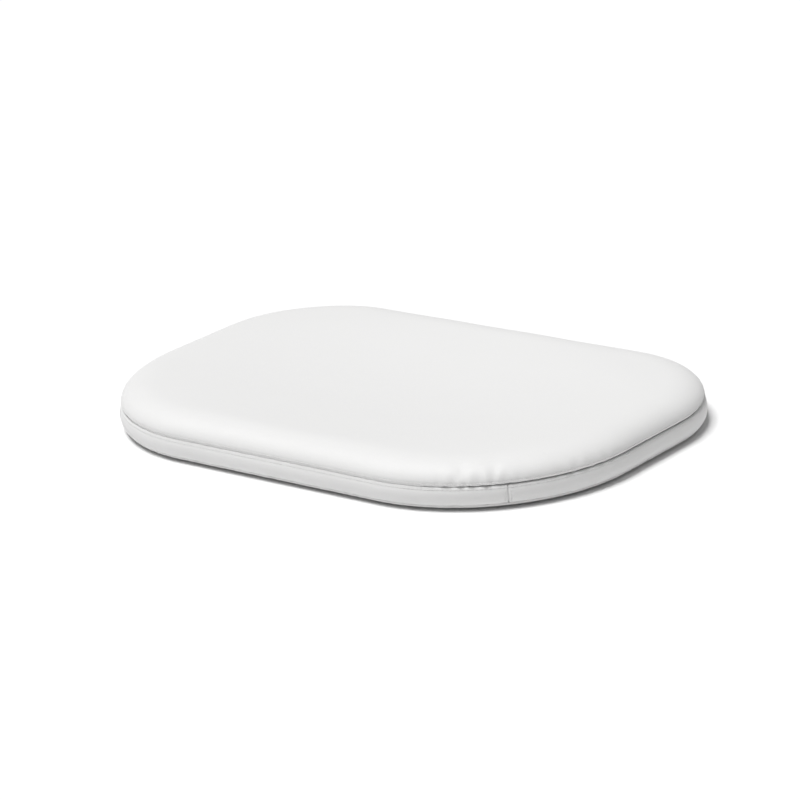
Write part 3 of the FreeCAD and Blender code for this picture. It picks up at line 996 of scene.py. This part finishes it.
def mottled_material(name, light, dark, scale, roughness, relief, distance, **shader_values):
    """A material whose colour, roughness and relief all follow one fine noise."""
    material, tree, shader, place = new_material(name)
    mottle = noise(tree, place, scale, 5.0)
    set_colour(tree, shader, mix_colours(tree, mottle, dark, light))
    tree.links.new(remap(tree, mottle, target=roughness), shader.inputs["Roughness"])
    set_relief(tree, shader, mottle, relief, distance)
    set_values(shader, **shader_values)
    return material


def woven_material(name, light, dark, pitch):
    """A tape's weave: two crossed sets of yarns."""
    material, tree, shader, place = new_material(name)
    inputs = {"Vector": place, "Scale": WAVE_PERIOD / pitch, "Distortion": 0.6, "Detail": 1.0}
    yarns = [
        add_node(tree, "ShaderNodeTexWave", inputs, bands_direction=direction).outputs["Fac"]
        for direction in ("X", "Z")
    ]
    weave = maths(tree, "MAXIMUM", *yarns)
    set_colour(tree, shader, mix_colours(tree, weave, dark, light))
    set_relief(tree, shader, weave, 0.7, 0.0002)
    set_values(shader, Roughness=0.75, Sheen_Weight=0.25)
    return material


def foam_material(name, light, dark, cell):
    """Open foam: small cells with darker pores."""
    material, tree, shader, place = new_material(name)
    cells = add_node(tree, "ShaderNodeTexVoronoi", {"Vector": place, "Scale": 1 / cell})
    pores = remap(tree, cells.outputs["Distance"], source=(0.0, 0.6))
    set_colour(tree, shader, mix_colours(tree, pores, dark, light))
    set_relief(tree, shader, pores, 0.6, 0.0004)
    set_values(shader, Roughness=0.95)
    return material


def grey(value, warm=0.0):
    return (value, value - warm * 0.4, value - warm, 1)


LEATHER_WHITE = grey(0.80, 0.005)
LEATHER_SHADE = grey(0.69, 0.01)
cover_leather = leather_material("white_leather", LEATHER_WHITE, LEATHER_SHADE)
thread = thread_material("white_thread", grey(0.82, 0.01))
wadding = mottled_material(
    "white_wadding", grey(0.9), grey(0.72), 900.0, (0.85, 1.0), 0.8, 0.0006, Sheen_Weight=0.4
)
foam = foam_material("cream_foam", (0.88, 0.83, 0.68, 1), (0.62, 0.57, 0.44, 1), 0.0011)
firm_foam = foam_material("firm_foam", (0.80, 0.82, 0.84, 1), (0.5, 0.53, 0.57, 1), 0.0008)
plastic = mottled_material(
    "sheet_plastic", grey(0.76, 0.02), grey(0.66, 0.02), 60.0, (0.42, 0.6), 0.2, 0.0001
)
hook_nylon = mottled_material(
    "hook_nylon", grey(0.8, 0.01), grey(0.66, 0.02), 700.0, (0.35, 0.55), 0.4, 0.0001
)
tape_cloth = woven_material("zip_tape_cloth", grey(0.82, 0.01), grey(0.6, 0.01), 0.0006)
nylon = mottled_material(
    "zip_nylon", grey(0.84, 0.01), grey(0.74, 0.02), 500.0, (0.25, 0.42), 0.2, 0.00005,
    Coat_Weight=0.2,
)
metal = mottled_material(
    "nickel", grey(0.74, 0.01), grey(0.5, 0.02), 1400.0, (0.16, 0.34), 0.15, 0.00003, Metallic=1.0
)

# -------- the cover

top_leather = make_top_leather()
side_leather = make_side_leather()
make_top_panel(top_leather, cover_leather)
make_bottom_panel(cover_leather)
STRIPS = {
    "boxing_panel_right": (FRONT_RIGHT_JOIN, REAR_RIGHT_JOIN, "boxing_right"),
    "boxing_panel_left": (REAR_LEFT_JOIN, FRONT_LEFT_JOIN, "boxing_left"),
    "boxing_panel_front": (FRONT_LEFT_JOIN, PERIMETER, "boxing_front"),
}
for name, (start, end, node) in STRIPS.items():
    side_panel(name, side_leather, SIDE_T, columns_between(start, end), [node], cover_leather)

SLOT_TOP = box("boxing_rear_upper")[0][2]
SLOT_BOTTOM = box("boxing_rear_lower")[1][2]
UPPER_FOLD, LOWER_FOLD = SLOT_TOP - SEAM_Z, SLOT_BOTTOM - SEAM_Z
edge = np.array([0, 0.1, 0.25, 0.5, 0.8, 1.2])
rear_columns = columns_between(REAR_RIGHT_JOIN, REAR_LEFT_JOIN)
upper_t = np.concatenate([[0, -0.4, -0.9, -1.4, -1.9], (UPPER_FOLD + edge)[::-1]])
lower_t = np.concatenate([LOWER_FOLD - edge, (TUCK_T + NEAR_SEAM[:5])[::-1]])
for name, rows, fold, node in (
    ("boxing_strip_above_zip", upper_t, UPPER_FOLD, "boxing_rear_upper"),
    ("boxing_strip_below_zip", lower_t, LOWER_FOLD, "boxing_rear_lower"),
):
    side_panel(name, side_leather, rows, rear_columns, [node], cover_leather, fold=fold)


def thread_piece(name, paths, body="cushion"):
    points, faces = tubes(paths, THREAD)
    return make_piece(name, points, faces, thread, body=body)


ZIP_ROW = 2.4
JOIN_ROW_LOW, JOIN_ROW_HIGH = 4.2, 5.5
stitches = round(PERIMETER / STITCH)
stitch_s = np.arange(stitches) * PERIMETER / stitches
thread_piece("thread_top_seam", stitches_along(top_leather, "top", STITCH_GAP, stitch_s))
thread_piece("thread_side_seam", stitches_along(side_leather, "side", -STITCH_GAP, stitch_s))
zip_s = np.arange(REAR_RIGHT_JOIN + 4, REAR_LEFT_JOIN - 3, STITCH)
thread_piece(
    "thread_zip_edge", stitches_along(side_leather, "side", LOWER_FOLD - ZIP_ROW, zip_s)
)
# The rows beside a join stop short of the seams above and below, and the zip's strips have none.
up_rows = np.arange(TUCK_T + JOIN_ROW_LOW, -JOIN_ROW_HIGH, STITCH)
join_paths = []
for join, sides in (
    (FRONT_RIGHT_JOIN, (-1, 1)),
    (FRONT_LEFT_JOIN, (-1, 1)),
    (REAR_RIGHT_JOIN, (-1,)),
    (REAR_LEFT_JOIN, (1,)),
):
    for side in sides:
        join_paths.append(
            stitches_along(side_leather, "side", up_rows, join + side * STITCH_GAP, True)
        )
thread_piece("thread_joins", np.vstack(join_paths))

# -------- the filling's layers

ROLL_T = np.array([1.5, 6, 10, 14, 19, 24, 30, 38, 48, 58])
make_layer(
    "wadding", np.concatenate([[-15, -11, -6, -2], ROLL_T]), 3.4, ("offset", 5.4),
    wadding, "wadding", "wadding_wrap",
)
SPLIT_Z = box("comfort_foam")[0][2]
make_layer(
    "soft_foam", np.concatenate([[SPLIT_Z - SEAM_Z, -1], ROLL_T]), 5.8, ("level", SPLIT_Z),
    foam, "foam", "comfort_foam",
)

make_block("firm_foam_block", firm_foam, "foam", "support_foam")
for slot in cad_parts["stiffener_sheet"].material_slots:
    slot.material = plastic

# -------- zip


def rounded_section(low, high, radius, corner=4):
    """(y, z) points of a rectangle with rounded corners."""
    points = []
    corners = ((1, 1, 0), (0, 1, 1), (0, 0, 2), (1, 0, 3))
    for y_side, z_side, turn in corners:
        centre = (
            high[0] - radius if y_side else low[0] + radius,
            high[1] - radius if z_side else low[1] + radius,
        )
        for angle in np.linspace(turn, turn + 1, corner) * QUARTER:
            points.append(
                (centre[0] + radius * math.cos(angle), centre[1] + radius * math.sin(angle))
            )
    return points


TAPE_SWAY = 0.03
for side in ("upper", "lower"):
    node = f"zip_tape_{side}"
    low, high = box(node)
    room = np.array([TAPE_SWAY, 0])
    section = rounded_section(low[1:] + room, high[1:] - room, 0.22)
    xs = np.linspace(low[0], high[0], 160)
    rings = np.empty((len(xs), len(section), 3))
    rings[..., 0] = xs[:, None]
    rings[..., 1:] = section
    rings[..., 1] += TAPE_SWAY * np.sin(xs / 9 + (side == "upper"))[:, None]
    points, faces = tube_mesh(rings)
    make_piece(f"zip_tape_{side}_cloth", points, faces, tape_cloth, nodes=[node])

# Each coil reaches COIL_LAP past the chain's middle, into the other one's gaps.
COIL_PITCH, COIL_WIRE, COIL_LAP = 1.2, 0.29, 0.34
for side, sign in (("upper", 1), ("lower", -1)):
    node = f"zip_coil_{side}"
    low, high = box(node)
    turns = int((high[0] - low[0] - 2 * COIL_WIRE) / COIL_PITCH)
    angle = np.linspace(0, turns * 2 * math.pi, turns * 14 + 1)
    z_near, z_far = (low[2] - COIL_LAP, high[2]) if sign > 0 else (high[2] + COIL_LAP, low[2])
    z_middle, z_reach = (z_near + z_far) / 2, abs(z_far - z_near) / 2 - COIL_WIRE
    y_middle, y_reach = (low[1] + high[1]) / 2, (high[1] - low[1]) / 2 - COIL_WIRE
    round_y = np.sign(np.cos(angle)) * np.abs(np.cos(angle)) ** 0.6
    path = np.stack(
        [
            low[0] + COIL_WIRE + COIL_PITCH * (angle / (2 * math.pi) + (0.5 if sign < 0 else 0)),
            y_middle + y_reach * round_y,
            z_middle + z_reach * np.sin(angle),
        ],
        -1,
    )
    points, faces = tubes(path[None], COIL_WIRE, 6, np.array([[[1.0, 0, 0]]]))
    make_piece(f"zip_coil_{side}_turns", points, faces, nylon, nodes=[node])


def plate(name, outlines, low, high, bevel, body, nodes=(), material=metal):
    """A plate in the XZ plane, from y = low to high, with holes and rounded edges."""
    curve = bpy.data.curves.new(name, "CURVE")
    curve.dimensions = "2D"
    curve.fill_mode = "BOTH"
    for outline_points in outlines:
        spline = curve.splines.new("POLY")
        spline.points.add(len(outline_points) - 1)
        for point, (x, z) in zip(spline.points, outline_points):
            point.co = (x * MM, z * MM, 0, 1)
        spline.use_cyclic_u = True
    curve.extrude = ((high - low) / 2 - bevel) * MM
    curve.bevel_depth = bevel * MM
    curve.bevel_resolution = 2
    curve.offset = -bevel * MM
    shape = bpy.data.objects.new(name, curve)
    mesh = bpy.data.meshes.new_from_object(shape)
    bpy.data.objects.remove(shape)
    joined = bmesh.new()
    joined.from_mesh(mesh)
    bmesh.ops.remove_doubles(joined, verts=joined.verts, dist=1e-6)
    points = [(v.co.x / MM, (low + high) / 2 + v.co.z / MM, v.co.y / MM) for v in joined.verts]
    faces = [tuple(v.index for v in f.verts) for f in joined.faces]
    joined.free()
    return make_piece(
        name, points, faces, material, body=body, nodes=nodes, smooth=False
    )


def rounded_outline(corners, radius, steps=5):
    """Points of a polygon in (x, z) with every corner rounded."""
    points = []
    count = len(corners)
    for k in range(count):
        before, here, after = (np.array(corners[(k + j) % count], float) for j in (-1, 0, 1))
        r = radius[k] if np.ndim(radius) else radius
        to_before = (before - here) / np.linalg.norm(before - here)
        to_after = (after - here) / np.linalg.norm(after - here)
        start, end = here + to_before * r, here + to_after * r
        for share in np.linspace(0, 1, steps):
            points.append(
                tuple(
                    (1 - share) ** 2 * start + 2 * share * (1 - share) * here + share**2 * end
                )
            )
    return points


def circle(x, z, radius, steps=20):
    return [
        (x + radius * math.cos(a), z + radius * math.sin(a))
        for a in np.linspace(0, 2 * math.pi, steps, endpoint=False)
    ]


def rectangle(low, high, up=2):
    """The rectangle between two corners of a box, in (x, z), or in (x, y) if up is 1."""
    return [(low[0], low[up]), (high[0], low[up]), (high[0], high[up]), (low[0], high[up])]


# The stops are clips bent round the tapes' edges: one on each tape at the closed end, and one
# across both tapes at the open end.
TOP_STOP_GAP = 0.4
low, high = box("zip_top_stops")
middle_z = (low[2] + high[2]) / 2
plate(
    "top_stop_clips",
    [
        rounded_outline(rectangle(low, (high[0], 0, middle_z - TOP_STOP_GAP)), 0.6),
        rounded_outline(rectangle((low[0], 0, middle_z + TOP_STOP_GAP), high), 0.6),
    ],
    low[1], high[1], 0.35, "cushion", ["zip_top_stops"],
)
low, high = box("zip_bottom_stop")
plate(
    "bottom_stop_clip", [rounded_outline(rectangle(low, high), 0.9)], low[1], high[1], 0.45,
    "cushion", ["zip_bottom_stop"],
)

BODY_LOW, BODY_HIGH = box("zip_slider_body")
CROWN_LOW, CROWN_HIGH = box("zip_slider_crown")
PULL_LOW, PULL_HIGH = box("zip_pull_tab")
SLIDER_X = (BODY_LOW[0] + BODY_HIGH[0]) / 2
ZIP_Z = (BODY_LOW[2] + BODY_HIGH[2]) / 2


def along_slider(points):
    """Outline points given from the slider's middle."""
    return [(SLIDER_X + x, ZIP_Z + z) for x, z in points]


SLIDER_PLATE = 1.0
PLATE_HALF = [(-5.5, -3.5), (-1.5, -4.3), (3.2, -5.0), (5.5, -4.4)]
PLATE_SHAPE = PLATE_HALF + [(4.7, 0)] + [(x, -z) for x, z in reversed(PLATE_HALF)]
PLATE_CORNERS = [1.0, 1.2, 1.3, 0.8, 1.0, 0.8, 1.3, 1.2, 1.0]
slider_outline = rounded_outline(along_slider(PLATE_SHAPE), PLATE_CORNERS)
for name, low_y, nodes in (
    ("slider_outer_plate", BODY_HIGH[1] - SLIDER_PLATE, ["zip_slider_body"]),
    ("slider_inner_plate", BODY_LOW[1], ()),
):
    plate(name, [slider_outline], low_y, low_y + SLIDER_PLATE, 0.28, "zip_slider", nodes)
for side in (-1, 1):
    rail = [(-5.2, 3.35), (-1.5, 4.1), (3.0, 4.75), (3.0, 3.95), (-1.5, 3.45), (-5.2, 3.3 - 0.35)]
    rail = [(x, side * z) for x, z in rail]
    plate(
        f"slider_rail_{'lower' if side < 0 else 'upper'}",
        [rounded_outline(along_slider(rail), 0.12, 3)],
        box("zip_tape_upper")[1][1] + 0.5, BODY_HIGH[1] - 0.9, 0.08, "zip_slider",
    )
wedge = [(1.2, 0), (3.4, -1.1), (4.4, -0.8), (4.4, 0.8), (3.4, 1.1)]
plate(
    "slider_wedge", [rounded_outline(along_slider(wedge), 0.3, 3)],
    BODY_LOW[1] + 0.9, BODY_HIGH[1] - 0.9, 0.1, "zip_slider",
)


def strap(name, path, width, thickness, body, nodes):
    """A metal strap bent in the XY plane: path is (x, y) points, and its width is along Z."""
    path = np.asarray(path, float)
    ahead = np.gradient(path, axis=0)
    ahead /= np.linalg.norm(ahead, axis=1)[:, None]
    out = np.stack([-ahead[:, 1], ahead[:, 0]], -1)
    half = np.array([thickness, width]) / 2
    section = np.array(rounded_section(-half, half, 0.22))
    rings = np.empty((len(path), len(section), 3))
    rings[..., :2] = path[:, None] + out[:, None] * section[None, :, :1]
    rings[..., 2] = ZIP_Z + section[None, :, 1]
    points, faces = tube_mesh(rings)
    make_piece(name, points, faces, metal, body=body, nodes=nodes)


arch = np.linspace(-0.12, 1.12, 25) * math.pi
CROWN_STRAP = 0.7
CROWN_HALF = (CROWN_HIGH[0] - CROWN_LOW[0]) / 2 - CROWN_STRAP / 2
CROWN_RISE = CROWN_HIGH[1] - CROWN_LOW[1] - CROWN_STRAP / 2


def squared(value):
    """A sine or cosine made a little squarer."""
    return math.copysign(abs(value) ** 0.8, value)


crown_path = [
    (
        SLIDER_X - CROWN_HALF * squared(math.cos(angle)),
        CROWN_LOW[1] + CROWN_RISE * max(-0.1, squared(math.sin(angle))),
    )
    for angle in arch
]
strap(
    "slider_crown_arch", crown_path, CROWN_HIGH[2] - CROWN_LOW[2], CROWN_STRAP, "zip_slider",
    ["zip_slider_crown"],
)

PULL_Y = (PULL_LOW[1] + PULL_HIGH[1]) / 2
BLADE = 1.1
NECK_HALF = 2.7
PULL_HALF = (PULL_HIGH[2] - PULL_LOW[2]) / 2
PULL_END = PULL_LOW[0] - SLIDER_X
BAR_RADIUS = 0.55
blade = along_slider(
    [
        (BAR_RADIUS, -NECK_HALF), (BAR_RADIUS, NECK_HALF), (-6, NECK_HALF), (-9, PULL_HALF),
        (PULL_END, PULL_HALF), (PULL_END, -PULL_HALF), (-9, -PULL_HALF), (-6, -NECK_HALF),
    ]
)
window = along_slider([(-5.6, -1.7), (-0.5, -1.7), (-0.5, 1.7), (-5.6, 1.7)])
plate(
    "pull_blade",
    [
        rounded_outline(blade, [0.5, 0.5, 1.5, 1.5, 2.6, 2.6, 1.5, 1.5], 7),
        rounded_outline(window, 0.9),
        circle(PULL_LOW[0] + 4, ZIP_Z, 1.4),
    ],
    PULL_Y - BLADE / 2, PULL_Y + BLADE / 2, 0.25, "zip_pull", ["zip_pull_tab"],
)
bar = np.array([[(SLIDER_X, PULL_Y, ZIP_Z + z) for z in (-2.6, -2.4, -1.2, 0, 1.2, 2.4, 2.6)]])
points, faces = tubes(bar, BAR_RADIUS, 14, np.array([[[1.0, 0, 0]]]))
make_piece("pull_bar", points, faces, metal, body="zip_pull")


def flat_stitches(route, up):
    """Stitches along a route of points on a flat face whose outward direction is up."""
    route = np.asarray(route, float)
    along = running(np.linalg.norm(np.diff(route, axis=0), axis=1))
    count = max(1, int(along[-1] / STITCH))
    middles = (np.arange(count) + 0.5) * along[-1] / count
    places = middles[:, None] + STITCH_STEPS[None] * STITCH
    at = np.stack([np.interp(places, along, route[:, k]) for k in range(3)], -1)
    return at + STITCH_LIFT[None, :, None] * np.asarray(up, float)


TAB_LAP = np.array([0, 0, 1.0])
for side in ("right", "left"):
    low, high = box(f"zip_end_tab_{side}")
    plate(
        f"end_tab_{side}", [rounded_outline(rectangle(low - TAB_LAP, high + TAB_LAP), 0.6)],
        low[1], high[1], 0.4, "cushion", [f"zip_end_tab_{side}"], cover_leather,
    )
    row_x = low[0] + 2.2 if side == "right" else high[0] - 2.2
    route = [(row_x, high[1], low[2] + 0.3), (row_x, high[1], high[2] - 0.3)]
    thread_piece(f"thread_end_tab_{side}", flat_stitches(route, (0, 1, 0)))

# -------- hook strips

# The tape's face is HOOK_RISE above the hooks' tips. Each hook rises from it and bends over to
# one side or the other: HOOK_BEND is (sideways, up from the tip).
HOOK_RISE = 1.35
HOOK_PITCH, HOOK_RADIUS = 2.2, 0.14
HOOK_BEND = np.array([(0, 1.5), (0, 0.85), (0.12, 0.38), (0.42, 0.16), (0.74, 0.36), (0.8, 0.66)])
hook_rng = np.random.default_rng(5)


def moved_in(points, low, high, inset):
    """Outline points of a box's plan, moved in by about inset."""
    middle = ((low + high) / 2)[:2]
    return middle + (points - middle) * (1 - inset / (high[:2] - middle))


for place in ("front", "centre", "rear"):
    node = f"hook_strip_{place}"
    low, high = box(node)
    edge_points = np.array(rounded_outline(rectangle(low, high, 1), 4.0, 6))
    edge_in = moved_in(edge_points, low, high, 0.5)
    face_z = low[2] + HOOK_RISE
    levels = ((edge_in, face_z), (edge_points, face_z + 0.3), (edge_points, high[2]))
    rings = np.array([np.column_stack([xy, np.full(len(xy), z)]) for xy, z in levels])
    points, faces = tube_mesh(rings)
    hooks_x = np.arange(low[0] + 5, high[0] - 5, HOOK_PITCH)
    hooks_y = np.arange(low[1] + 4.5, high[1] - 4, HOOK_PITCH)
    foot = np.stack(np.meshgrid(hooks_x, hooks_y, indexing="ij"), -1)
    foot = (foot + hook_rng.uniform(-0.2, 0.2, foot.shape)).reshape(-1, 2)
    row_side = np.where(np.arange(len(hooks_y)) % 2, 1.0, -1.0)
    row_side = np.tile(row_side, len(hooks_x))[:, None]
    paths = np.empty((len(foot), len(HOOK_BEND), 3))
    paths[..., 0] = foot[:, :1] + row_side * HOOK_BEND[None, :, 0]
    paths[..., 1] = foot[:, 1:]
    paths[..., 2] = low[2] + HOOK_BEND[None, :, 1]
    hook_points, hook_faces = tubes(paths, HOOK_RADIUS, 4, np.array([[[0, 1.0, 0]]]))
    faces += [[v + len(points) for v in face] for face in hook_faces]
    make_piece(
        f"hook_tape_{place}", np.vstack([points, hook_points]), faces, hook_nylon,
        nodes=[node], smooth=False,
    )
    seam = moved_in(edge_points, low, high, 1.9)
    seam = np.vstack([seam, seam[:1]])
    route = np.column_stack([seam, np.full(len(seam), face_z)])
    thread_piece(f"thread_hook_tape_{place}", flat_stitches(route, (0, 0, -1)))

# -------- stage, light, camera

FLOOR_REACH = 12.0


def make_floor():
    material, tree, shader, place = new_material("floor")
    clouds = noise(tree, place, 1.5, 2.0)
    set_colour(tree, shader, mix_colours(tree, clouds, grey(0.9), grey(0.92)))
    set_values(shader, Roughness=0.9)
    mesh = bpy.data.meshes.new("floor")
    corners = [(x, y, 0) for x, y in ((-1, -1), (1, -1), (1, 1), (-1, 1))]
    mesh.from_pydata((FLOOR_REACH * np.array(corners)).tolist(), [], [(0, 1, 2, 3)])
    mesh.materials.append(material)
    link("floor", mesh)


def add_light(name, place, spread, power):
    """A broad, even light from the direction of place, spread degrees wide."""
    data = bpy.data.lights.new(name, "SUN")
    data.angle = math.radians(spread)
    data.energy = power
    light = bpy.data.objects.new(name, data)
    light.location = place
    light.rotation_euler = (-Vector(place)).to_track_quat("-Z", "Y").to_euler()
    bpy.context.scene.collection.objects.link(light)


def make_camera(azimuth, elevation, roll, distance, lens, aim):
    azimuth, elevation = math.radians(azimuth), math.radians(elevation)
    direction = Vector(
        (
            math.sin(azimuth) * math.cos(elevation),
            -math.cos(azimuth) * math.cos(elevation),
            math.sin(elevation),
        )
    )
    data = bpy.data.cameras.new("camera")
    data.lens = lens
    data.sensor_width = 36
    camera = bpy.data.objects.new("camera", data)
    camera.location = Vector(aim) + direction * distance
    upright = (-direction).to_track_quat("-Z", "Y").to_matrix()
    camera.rotation_euler = (upright @ Matrix.Rotation(math.radians(roll), 3, "Z")).to_euler()
    bpy.context.scene.collection.objects.link(camera)
    bpy.context.scene.camera = camera


make_floor()
make_camera(40.0, 19.0, -4.6, 3.4, 158, (0, 0, 0.022))
add_light("key", (-0.55, -0.6, 3.1), 30, 2.98)
world = bpy.data.worlds.new("studio")
bpy.context.scene.world = world
world.use_nodes = True
set_values(world.node_tree.nodes["Background"], Color=(1, 1, 1, 1), Strength=0.24)
bpy.context.scene.view_settings.view_transform = "Standard"
